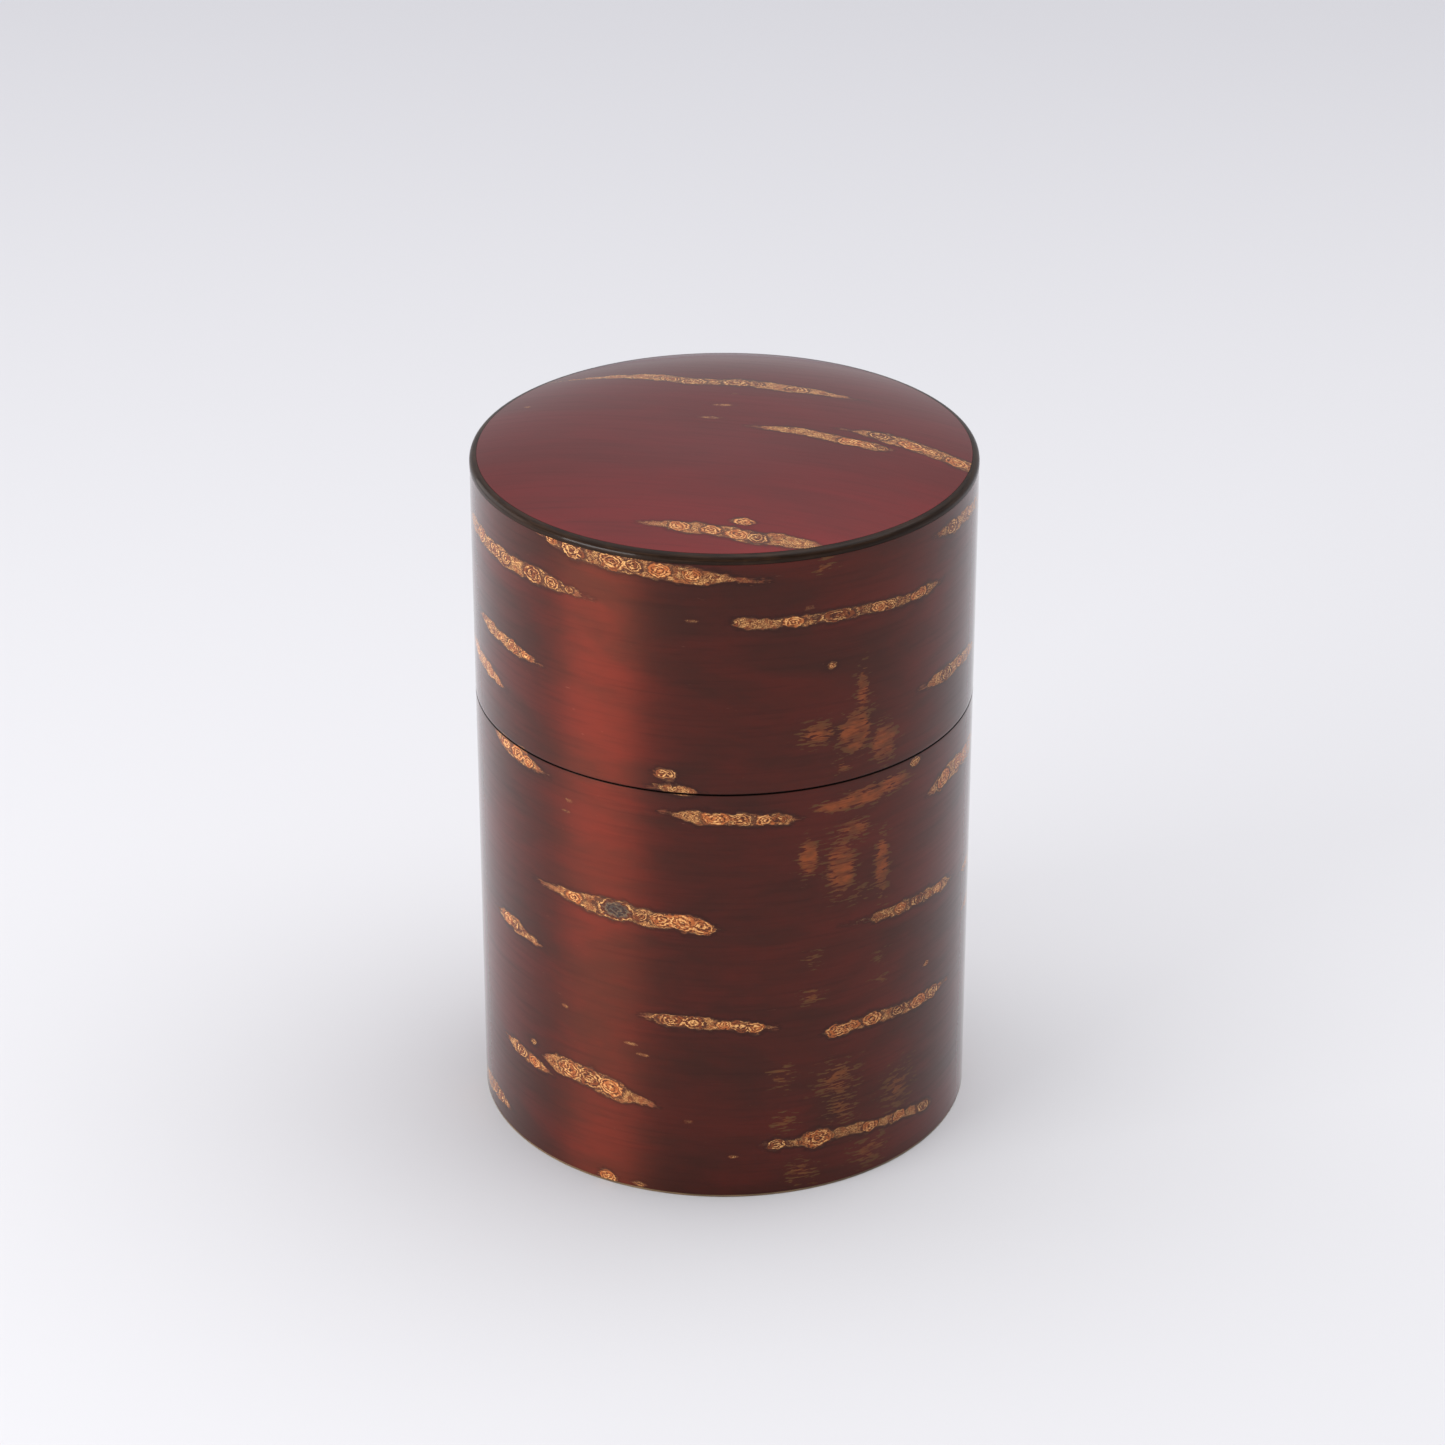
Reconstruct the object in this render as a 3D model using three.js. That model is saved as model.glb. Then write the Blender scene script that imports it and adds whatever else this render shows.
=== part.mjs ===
// A cherry bark tea caddy: a round wooden canister faced all over with polished cherry bark,
// with an outer lid that slides down over a neck, and an inner lid with a knob that plugs the neck.
//
// Millimetres, +Z up. The origin is the centre of the foot, on the surface that the caddy stands on.
// The outer tube is three layers (bark lining, wound veneer core, bark facing) and is sawn across at
// the seam into body and lid. The neck is a second three layer tube glued inside the body. The sawn
// ends of the veneer are covered with thin strips of bark, and every glued joint has a glue line.

import * as THREE from "three";

// ---- Driving sizes -------------------------------------------------------------------------------

const caddyRadius = 41; // outside of the bark facing
const caddyHeight = 119.6; // foot to the crown of the lid
const seamHeight = 75; // where the outer tube is sawn into body and lid
const domeRise = 3.6; // how far the crown stands above the lid's rim

const facingBark = 0.5; // bark on the outside of the tube
const tubeCore = 1.4; // wound veneer of the outer tube
const tubeLining = 0.3; // bark on the inside of the tube
const neckFacing = 0.3; // bark on the outside of the neck
const neckCore = 1.0; // wound veneer of the neck
const neckLining = 0.3; // bark on the inside of the neck
const edgeStrip = 0.4; // bark strip over a sawn end
const glueLine = 0.05; // glue between two bonded faces

const lidClearance = 0.1; // radial running clearance between lid and neck
const lidSeatGap = 0.1; // between the lid's mouth and the body's shoulder
const domeFlatness = 3.2; // power of the dome's curve: 2 is evenly round, more is flatter in the middle
const knobHeadroom = 1.5; // between the knob and the ceiling of the lid

const footRecess = 0.8; // how far the underside of the base is set up from the foot
const baseThickness = 4; // turned wooden base
const undersideBark = 0.4; // bark on the underside of the base
const floorBark = 0.3; // bark on the floor of the chamber

const lidBoardEdge = 3; // height of the lid board at its edge
const lidTopBark = 0.4; // bark on the dome
const ceilingBark = 0.3; // bark on the ceiling of the lid
const rimStripSize = 1.1; // dark corner strip round the top of the lid, in both directions
const rimRounding = 0.9; // its rounded outer corner

const plugThickness = 5; // board of the inner lid that goes down into the neck
const plugClearance = 0.1; // radial running clearance between plug and neck
const plugBark = 0.3; // bark round the plug and under it
const flangeThickness = 1.8; // board of the inner lid that rests on the neck
const flangeSetback = 0.7; // how far the flange's edge stays inside the outside of the neck
const flangeTopBark = 0.4; // bark on top of the flange
const flangeSeatGap = 0.1; // between the flange and the neck's rim

const knobHeight = 8; // above the flange's bark
const knobRadius = 8; // at its widest
const knobWaistRadius = 5.5; // where the fingers grip
const knobFootRadius = 6.5; // where it stands on the flange
const knobWaistHeight = 3.6; // from the flange up to the waist, under the head
const tenonRadius = 2.5; // round tenon turned on the knob
const tenonDepth = 2.7; // how deep the tenon goes into the plug board

const roundSegments = 64; // facets round every turned piece
const domeRings = 6; // facets from the crown to the edge of the dome
const cornerFacets = 3; // facets in a rounded corner

// ---- Radii, from the outside in ------------------------------------------------------------------

const facingInner = caddyRadius - facingBark;
const tubeCoreOuter = facingInner - glueLine;
const tubeCoreInner = tubeCoreOuter - tubeCore;
const tubeLiningOuter = tubeCoreInner - glueLine;
const tubeBore = tubeLiningOuter - tubeLining;
const neckOuter = tubeBore - lidClearance;
const neckCoreOuter = neckOuter - neckFacing - glueLine;
const neckCoreInner = neckCoreOuter - neckCore;
const neckLiningOuter = neckCoreInner - glueLine;
const neckBore = neckLiningOuter - neckLining;
const plugOuter = neckBore - plugClearance;
const plugBoardRadius = plugOuter - plugBark - glueLine;
const flangeOuter = neckOuter - flangeSetback;
const flangeBoardRadius = flangeOuter - plugBark - glueLine;
const rimStripInner = caddyRadius - rimStripSize;
const boardShoulderRadius = rimStripInner - glueLine;
const baseRadius = tubeBore - glueLine;
const socketRadius = tenonRadius + glueLine;

// ---- Heights, from the foot up -------------------------------------------------------------------

const wallBottom = edgeStrip + glueLine;
const undersideBottom = footRecess;
const baseBottom = undersideBottom + undersideBark + glueLine;
const baseTop = baseBottom + baseThickness;
const neckBottom = baseTop + glueLine;
const floorTop = neckBottom + floorBark;
const shoulderBottom = seamHeight - edgeStrip;
const bodyWallTop = shoulderBottom - glueLine;

const rimHeight = caddyHeight - domeRise;
const mouthBottom = seamHeight + lidSeatGap;
const mouthTop = mouthBottom + edgeStrip;
const lidWallBottom = mouthTop + glueLine;
const rimStripBottom = rimHeight - rimStripSize;
const lidFacingTop = rimStripBottom - glueLine;
const boardBottom = rimHeight - lidTopBark - glueLine - lidBoardEdge;
const lidWallTop = boardBottom - glueLine;
const ceilingTop = boardBottom - glueLine;
const ceilingBottom = ceilingTop - ceilingBark;

const knobTop = ceilingBottom - knobHeadroom;
const flangeBarkTop = knobTop - knobHeight;
const flangeBarkBottom = flangeBarkTop - flangeTopBark;
const flangeTop = flangeBarkBottom - glueLine;
const flangeBottom = flangeTop - flangeThickness;
const neckTop = flangeBottom - flangeSeatGap;
const neckStripBottom = neckTop - edgeStrip;
const neckWallTop = neckStripBottom - glueLine;
const plugTop = flangeBottom - glueLine;
const plugBottom = plugTop - plugThickness;
const plugBarkTop = plugBottom - glueLine;
const plugBarkBottom = plugBarkTop - plugBark;
const tenonBottom = plugTop - tenonDepth;
const socketBottom = tenonBottom - glueLine;

// ---- Materials -----------------------------------------------------------------------------------

const finish = (color, roughness) => new THREE.MeshStandardMaterial({ color, roughness, metalness: 0 });
const polishedBark = () => finish(0x5a2a24, 0.3);
const satinBark = () => finish(0x6b3a2c, 0.55);
const edgeBark = () => finish(0x2a1d17, 0.4);
const veneer = () => finish(0xc9a26e, 0.7);
const boardWood = () => finish(0xd2b183, 0.7);
const layeredBark = () => finish(0x4a231b, 0.35);

// ---- Shapes --------------------------------------------------------------------------------------

const caddy = new THREE.Group();

// A solid of revolution about Z from (radius, height) points, which run counterclockwise.
function turn(name, points, material) {
  const outline = points.map(([radius, height]) => new THREE.Vector2(radius, height));
  const geometry = new THREE.LatheGeometry(outline, roundSegments);
  geometry.rotateX(Math.PI / 2);
  const mesh = new THREE.Mesh(geometry, material);
  mesh.name = name;
  caddy.add(mesh);
}

// Points of an arc about a centre, from one angle to another, both ends included.
function arc(radius, height, size, from, to) {
  const points = [];
  for (let step = 0; step <= cornerFacets; step++) {
    const angle = THREE.MathUtils.degToRad(from + ((to - from) * step) / cornerFacets);
    points.push([radius + size * Math.cos(angle), height + size * Math.sin(angle)]);
  }
  return points;
}

// A tube between two radii and two heights. Its outer corners are sharp unless they are named.
function sleeve(name, inner, outer, bottom, top, material, rounded = []) {
  const rounding = Math.min(outer - inner, top - bottom) / 2;
  const corner = outer - rounding;
  const lower = rounded.includes("lower")
    ? arc(corner, bottom + rounding, rounding, -90, 0)
    : [[outer, bottom]];
  const upper = rounded.includes("upper")
    ? arc(corner, top - rounding, rounding, 0, 90)
    : [[outer, top]];
  const outline = [[inner, bottom], ...lower, ...upper, [inner, top], [inner, bottom]];
  turn(name, outline, material);
}

// A flat disc that is solid to the axis.
function disc(name, radius, bottom, top, material) {
  const outline = [
    [0, bottom],
    [radius, bottom],
    [radius, top],
    [0, top],
  ];
  turn(name, outline, material);
}

// Height of the outside of the dome at a radius: nearly flat at the crown, steepest at the rim.
const domeHeight = (radius) => caddyHeight - domeRise * (radius / caddyRadius) ** domeFlatness;

// Points along the dome from its edge up to the crown, set below its outside by a depth.
function domeLine(edgeRadius, depth) {
  const points = [];
  for (let ring = domeRings; ring >= 0; ring--) {
    const radius = (edgeRadius * ring) / domeRings;
    points.push([radius, domeHeight(radius) - depth]);
  }
  return points;
}

// ---- Body: outer tube ----------------------------------------------------------------------------

sleeve("body_bark", facingInner, caddyRadius, wallBottom, seamHeight, polishedBark(), ["upper"]);
sleeve("body_core", tubeCoreInner, tubeCoreOuter, wallBottom, bodyWallTop, veneer());
sleeve("body_lining", tubeBore, tubeLiningOuter, wallBottom, bodyWallTop, satinBark());
sleeve("shoulder_strip", tubeBore, tubeCoreOuter, shoulderBottom, seamHeight, edgeBark());
sleeve("foot_strip", tubeBore, caddyRadius, 0, edgeStrip, edgeBark(), ["lower"]);

// ---- Body: base ----------------------------------------------------------------------------------

disc("base_underside_bark", baseRadius, undersideBottom, undersideBottom + undersideBark, satinBark());
disc("base_board", baseRadius, baseBottom, baseTop, boardWood());

// ---- Body: neck tube -----------------------------------------------------------------------------

sleeve("neck_bark", neckCoreOuter + glueLine, neckOuter, neckBottom, neckWallTop, polishedBark());
sleeve("neck_core", neckCoreInner, neckCoreOuter, neckBottom, neckWallTop, veneer());
sleeve("neck_lining", neckBore, neckLiningOuter, neckBottom, neckWallTop, satinBark());
sleeve("neck_rim_strip", neckBore, neckOuter, neckStripBottom, neckTop, edgeBark(), ["upper"]);
disc("chamber_floor_bark", neckBore - glueLine, neckBottom, floorTop, satinBark());

// ---- Outer lid: tube -----------------------------------------------------------------------------

sleeve("lid_bark", facingInner, caddyRadius, mouthBottom, lidFacingTop, polishedBark(), ["lower"]);
sleeve("lid_core", tubeCoreInner, tubeCoreOuter, lidWallBottom, lidWallTop, veneer());
sleeve("lid_lining", tubeBore, tubeLiningOuter, lidWallBottom, ceilingBottom - glueLine, satinBark());
sleeve("lid_mouth_strip", tubeBore, tubeCoreOuter, mouthBottom, mouthTop, edgeBark());

// ---- Outer lid: top ------------------------------------------------------------------------------

// The board closes the tube. Its top corner is stepped back for the rim strip.
turn(
  "lid_board",
  [
    [0, boardBottom],
    [tubeCoreOuter, boardBottom],
    [tubeCoreOuter, lidFacingTop],
    [boardShoulderRadius, lidFacingTop],
    ...domeLine(boardShoulderRadius, lidTopBark + glueLine),
  ],
  boardWood(),
);
turn(
  "lid_top_bark",
  [...domeLine(boardShoulderRadius, lidTopBark).reverse(), ...domeLine(boardShoulderRadius, 0)],
  polishedBark(),
);
// The strip's outer corner turns from the wall until it meets the dome.
const rimTurn = 75;
const rimTurnRadians = THREE.MathUtils.degToRad(rimTurn);
const rimCentreRadius = caddyRadius - rimRounding;
const rimMeetRadius = rimCentreRadius + rimRounding * Math.cos(rimTurnRadians);
const rimCentreHeight = domeHeight(rimMeetRadius) - rimRounding * Math.sin(rimTurnRadians);
turn(
  "lid_rim_strip",
  [
    [rimStripInner, rimStripBottom],
    [caddyRadius, rimStripBottom],
    ...arc(rimCentreRadius, rimCentreHeight, rimRounding, 0, rimTurn),
    [rimStripInner, domeHeight(rimStripInner)],
    [rimStripInner, rimStripBottom],
  ],
  edgeBark(),
);
disc("lid_ceiling_bark", tubeCoreInner - glueLine, ceilingBottom, ceilingTop, satinBark());

// ---- Inner lid: plug and flange ------------------------------------------------------------------

sleeve("plug_bark_band", plugBoardRadius + glueLine, plugOuter, plugBottom, plugTop, satinBark());
disc("plug_underside_bark", plugOuter, plugBarkBottom, plugBarkTop, satinBark());

// The plug board has a blind socket for the foot of the knob's tenon.
turn(
  "plug_board",
  [
    [0, plugBottom],
    [plugBoardRadius, plugBottom],
    [plugBoardRadius, plugTop],
    [socketRadius, plugTop],
    [socketRadius, socketBottom],
    [0, socketBottom],
  ],
  boardWood(),
);
sleeve("flange_board", socketRadius, flangeBoardRadius, flangeBottom, flangeTop, boardWood());
const flangeEdgeInner = flangeBoardRadius + glueLine;
sleeve("flange_edge_strip", flangeEdgeInner, flangeOuter, flangeBottom, flangeTop, edgeBark(), ["lower"]);
sleeve(
  "flange_top_bark",
  socketRadius,
  flangeOuter,
  flangeBarkBottom,
  flangeBarkTop,
  polishedBark(),
  ["upper"],
);

// ---- Inner lid: knob -----------------------------------------------------------------------------

// It is built up from layers of bark and carved, with its tenon in one piece.
const knobBottom = flangeBarkTop + glueLine;
const headBottom = knobBottom + knobWaistHeight;
const headRounding = (knobTop - headBottom) / 2;
turn(
  "inner_lid_knob",
  [
    [0, tenonBottom],
    [tenonRadius, tenonBottom],
    [tenonRadius, knobBottom],
    [knobFootRadius, knobBottom],
    [knobWaistRadius, headBottom],
    ...arc(knobRadius - headRounding, knobTop - headRounding, headRounding, -60, 90),
    [0, knobTop],
  ],
  layeredBark(),
);

export default caddy;
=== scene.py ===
import math
import random

import bmesh
import bpy
import numpy as np
from mathutils import Matrix, Vector


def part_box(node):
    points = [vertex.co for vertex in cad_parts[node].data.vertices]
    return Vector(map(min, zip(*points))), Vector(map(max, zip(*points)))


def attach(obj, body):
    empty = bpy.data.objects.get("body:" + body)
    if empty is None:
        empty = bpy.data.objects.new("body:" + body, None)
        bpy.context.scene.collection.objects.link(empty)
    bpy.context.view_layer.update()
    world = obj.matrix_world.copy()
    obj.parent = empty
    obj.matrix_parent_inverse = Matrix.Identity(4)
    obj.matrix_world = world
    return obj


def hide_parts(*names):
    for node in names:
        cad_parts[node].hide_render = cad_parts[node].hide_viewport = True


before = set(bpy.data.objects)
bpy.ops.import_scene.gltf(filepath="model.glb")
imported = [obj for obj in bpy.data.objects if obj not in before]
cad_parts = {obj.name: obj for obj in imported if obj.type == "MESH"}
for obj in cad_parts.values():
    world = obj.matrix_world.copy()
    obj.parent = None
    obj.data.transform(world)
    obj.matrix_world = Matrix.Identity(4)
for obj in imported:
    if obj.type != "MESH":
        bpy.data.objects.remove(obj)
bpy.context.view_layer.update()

# ---- Wound tubes -------------------------------------------------------------------------------
# The body, the neck and the lid are tubes wound from thin sheets of pale veneer round a former,
# glued turn on turn. Bark covers them inside and out, so only the grain of the turns is given here.

MM = 0.001


class Wire:
    """One output of a finish's node. A sum on it adds the Math nodes that the sum needs."""

    def __init__(self, finish, socket):
        self.finish = finish
        self.socket = socket

    def sum(self, operation, *terms):
        return self.finish.add("Math", {"operation": operation}, dict(enumerate(terms)))

    def output(self, name):
        return Wire(self.finish, self.socket.node.outputs[name])

    def __add__(self, other):
        return self.sum("ADD", self, other)

    def __radd__(self, other):
        return self.sum("ADD", other, self)

    def __sub__(self, other):
        return self.sum("SUBTRACT", self, other)

    def __rsub__(self, other):
        return self.sum("SUBTRACT", other, self)

    def __mul__(self, other):
        return self.sum("MULTIPLY", self, other)

    def __rmul__(self, other):
        return self.sum("MULTIPLY", other, self)

    def __abs__(self):
        return self.sum("ABSOLUTE", self)

    def sine(self):
        return self.sum("SINE", self)

    def rise(self, low, high):
        """0 below low, 1 above high, and a soft step between; low above high turns it round."""
        settings = {"interpolation_type": "SMOOTHSTEP"}
        if low < high:
            limits = {"Value": self, "From Min": low, "From Max": high}
            return self.finish.add("MapRange", settings, limits)
        return 1.0 - self.rise(high, low)


class Finish:
    """A material that is made of nodes, with the polish set on the shader's own sockets."""

    def __init__(self, name, **polish):
        self.material = bpy.data.materials.new(name)
        self.material.use_nodes = True
        self.tree = self.material.node_tree
        self.tree.nodes.clear()
        self.shader = self.tree.nodes.new("ShaderNodeBsdfPrincipled")
        surface = self.tree.nodes.new("ShaderNodeOutputMaterial")
        self.tree.links.new(self.shader.outputs[0], surface.inputs["Surface"])
        for socket, value in polish.items():
            self.shader.inputs[socket.replace("_", " ")].default_value = value

    def add(self, kind, settings, sockets):
        node = self.tree.nodes.new("ShaderNode" + kind)
        for key, value in settings.items():
            setattr(node, key, value)
        for key, value in sockets.items():
            if isinstance(key, str):
                socket = next(s for s in node.inputs if s.name == key and s.enabled)
            else:
                socket = node.inputs[key]
            if isinstance(value, Wire):
                self.tree.links.new(value.socket, socket)
            elif socket.type == "RGBA":
                socket.default_value = (*value, 1.0)
            else:
                socket.default_value = value
        return Wire(self, next(s for s in node.outputs if s.enabled))

    def place(self):
        """Where a point is on the caddy, in metres."""
        return self.add("TexCoord", {}, {}).output("Object")

    def drawn(self, place, scale, turn=0.0):
        """The place, drawn out by a scale along each axis after a turn about the upright one."""
        turned_place = self.add("Mapping", {}, {"Vector": place, "Rotation": (0.0, 0.0, turn)})
        return self.add("Mapping", {}, {"Vector": turned_place, "Scale": scale})

    def cloud(self, place, scale, detail=2.0, roughness=0.5, distortion=0.0):
        sockets = {"Vector": place, "Scale": scale, "Detail": detail, "Roughness": roughness}
        sockets["Distortion"] = distortion
        return self.add("TexNoise", {"noise_dimensions": "3D"}, sockets)

    def blend(self, mask, under, over):
        sockets = {"Factor": mask, "A": under, "B": over}
        return self.add("Mix", {"data_type": "RGBA"}, sockets)

    def set(self, socket, wire):
        self.tree.links.new(wire.socket, self.shader.inputs[socket])

    def relief(self, height, depth):
        """Bumps of a depth in metres where height goes from 0 to 1."""
        bump = self.add("Bump", {}, {"Height": height, "Strength": 1.0, "Distance": depth})
        self.set("Normal", bump)

    def coat(self, piece):
        piece.data.materials.clear()
        piece.data.materials.append(self.material)


def wood(name, pale, dark, grain, turn=0.0):
    """Bare wood: long soft figure, fine pores along the grain and a dull surface."""
    finish = Finish(name, Roughness=0.6, IOR=1.45)
    place = finish.place()
    figure = finish.cloud(finish.drawn(place, grain, turn), 1.0, 4.0, 0.55, 0.6)
    pores = finish.cloud(finish.drawn(place, [value * 6.0 for value in grain], turn), 1.0, 2.0)
    colour = finish.blend(figure.rise(0.3, 0.7), pale, dark)
    pore = pores.rise(0.62, 0.75)
    finish.set("Base Color", finish.blend(pore * 0.5, colour, [value * 0.55 for value in dark]))
    finish.set("Roughness", 0.55 + figure * 0.2)
    finish.relief(1.0 - pore, 0.03 * MM)
    return finish


veneer = wood("wound_veneer", (0.56, 0.36, 0.19), (0.42, 0.25, 0.12), (900.0, 900.0, 30.0))
for node in ("body_core", "neck_core", "lid_core"):
    veneer.coat(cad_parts[node])

# ---- Turned boards -----------------------------------------------------------------------------
# The base, the lid's domed top and both steps of the inner lid are discs turned from solid wood,
# with the grain straight across them. They are glued into the tubes and then faced with bark.

board_wood = wood("turned_board", (0.62, 0.44, 0.26), (0.48, 0.31, 0.16), (25.0, 420.0, 420.0))
for node in ("base_board", "lid_board", "plug_board", "flange_board"):
    board_wood.coat(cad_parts[node])

# ---- Facing bark of body and lid ---------------------------------------------------------------
# One sheet of polished wild cherry bark is wrapped round the whole tube before it is sawn at the
# seam, so the streaks run on from the body to the lid. Its two ends meet in a scarf at the back.


def turned(name, outline, steps, rounded=(), cuts=(), open_ends=False):
    """A piece spun from an outline of (radius, height) corners in metres.

    A sixteenth is spun and then doubled four times, so the steps are a multiple of 16.
    rounded holds (corner number, size, facets), and cuts holds (corner number, cuts) for the side
    that starts at that corner. An outline with open ends starts and ends on the axis.
    """
    mesh_maker = bmesh.new()
    corners = [mesh_maker.verts.new((radius, 0.0, height)) for radius, height in outline]
    ends = corners[1:] if open_ends else corners[1:] + corners[:1]
    sides = [mesh_maker.edges.new(pair) for pair in zip(corners, ends)]
    for number, count in cuts:
        bmesh.ops.subdivide_edges(mesh_maker, edges=[sides[number]], cuts=count)
    bmesh.ops.spin(
        mesh_maker,
        geom=mesh_maker.verts[:] + mesh_maker.edges[:],
        cent=(0.0, 0.0, 0.0),
        axis=(0.0, 0.0, 1.0),
        angle=math.tau / 16,
        steps=steps // 16,
    )
    for share in (16, 8, 4, 2):
        copied = bmesh.ops.duplicate(
            mesh_maker, geom=mesh_maker.verts[:] + mesh_maker.edges[:] + mesh_maker.faces[:]
        )
        bmesh.ops.rotate(
            mesh_maker,
            cent=(0.0, 0.0, 0.0),
            matrix=Matrix.Rotation(math.tau / share, 3, "Z"),
            verts=[item for item in copied["geom"] if isinstance(item, bmesh.types.BMVert)],
        )
    touching = 0.001 * MM
    bmesh.ops.remove_doubles(mesh_maker, verts=mesh_maker.verts[:], dist=touching)
    bmesh.ops.recalc_face_normals(mesh_maker, faces=mesh_maker.faces[:])
    for number, size, facets in rounded:
        radius, height = outline[number]
        on_corner = {
            point
            for point in mesh_maker.verts
            if math.hypot(point.co.xy.length - radius, point.co.z - height) < touching
        }
        bmesh.ops.bevel(
            mesh_maker,
            geom=[edge for edge in mesh_maker.edges if on_corner.issuperset(edge.verts)],
            offset=size,
            offset_type="OFFSET",
            segments=facets,
            profile=0.5,
            affect="EDGES",
            material=-1,
        )
    mesh = bpy.data.meshes.new(name)
    mesh_maker.to_mesh(mesh)
    mesh_maker.free()
    mesh.polygons.foreach_set("use_smooth", [True] * len(mesh.polygons))
    mesh.set_sharp_from_angle(angle=math.radians(50.0))
    piece = bpy.data.objects.new(name, mesh)
    bpy.context.scene.collection.objects.link(piece)
    return piece


def fit(piece, body, node, finish):
    """The piece rides on a body, stands for its node and gets its finish."""
    finish.coat(piece)
    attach(piece, body)
    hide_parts(node)


def ring(name, body, node, finish, inner, steps, rounded=(), cuts=()):
    """A plain tube with the outside and the height of its node and a bore of its own."""
    low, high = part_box(node)
    outline = [(inner, low.z), (high.x, low.z), (high.x, high.z), (inner, high.z)]
    piece = turned(name, outline, steps, rounded, cuts)
    fit(piece, body, node, finish)
    return piece


facing_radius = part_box("body_bark")[1].x / MM
# The sides of a ring's outline that get more rows of points, and the tone of a grey eye.
OUTSIDE, INSIDE = 1, 3
GREY = 2.0

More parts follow.
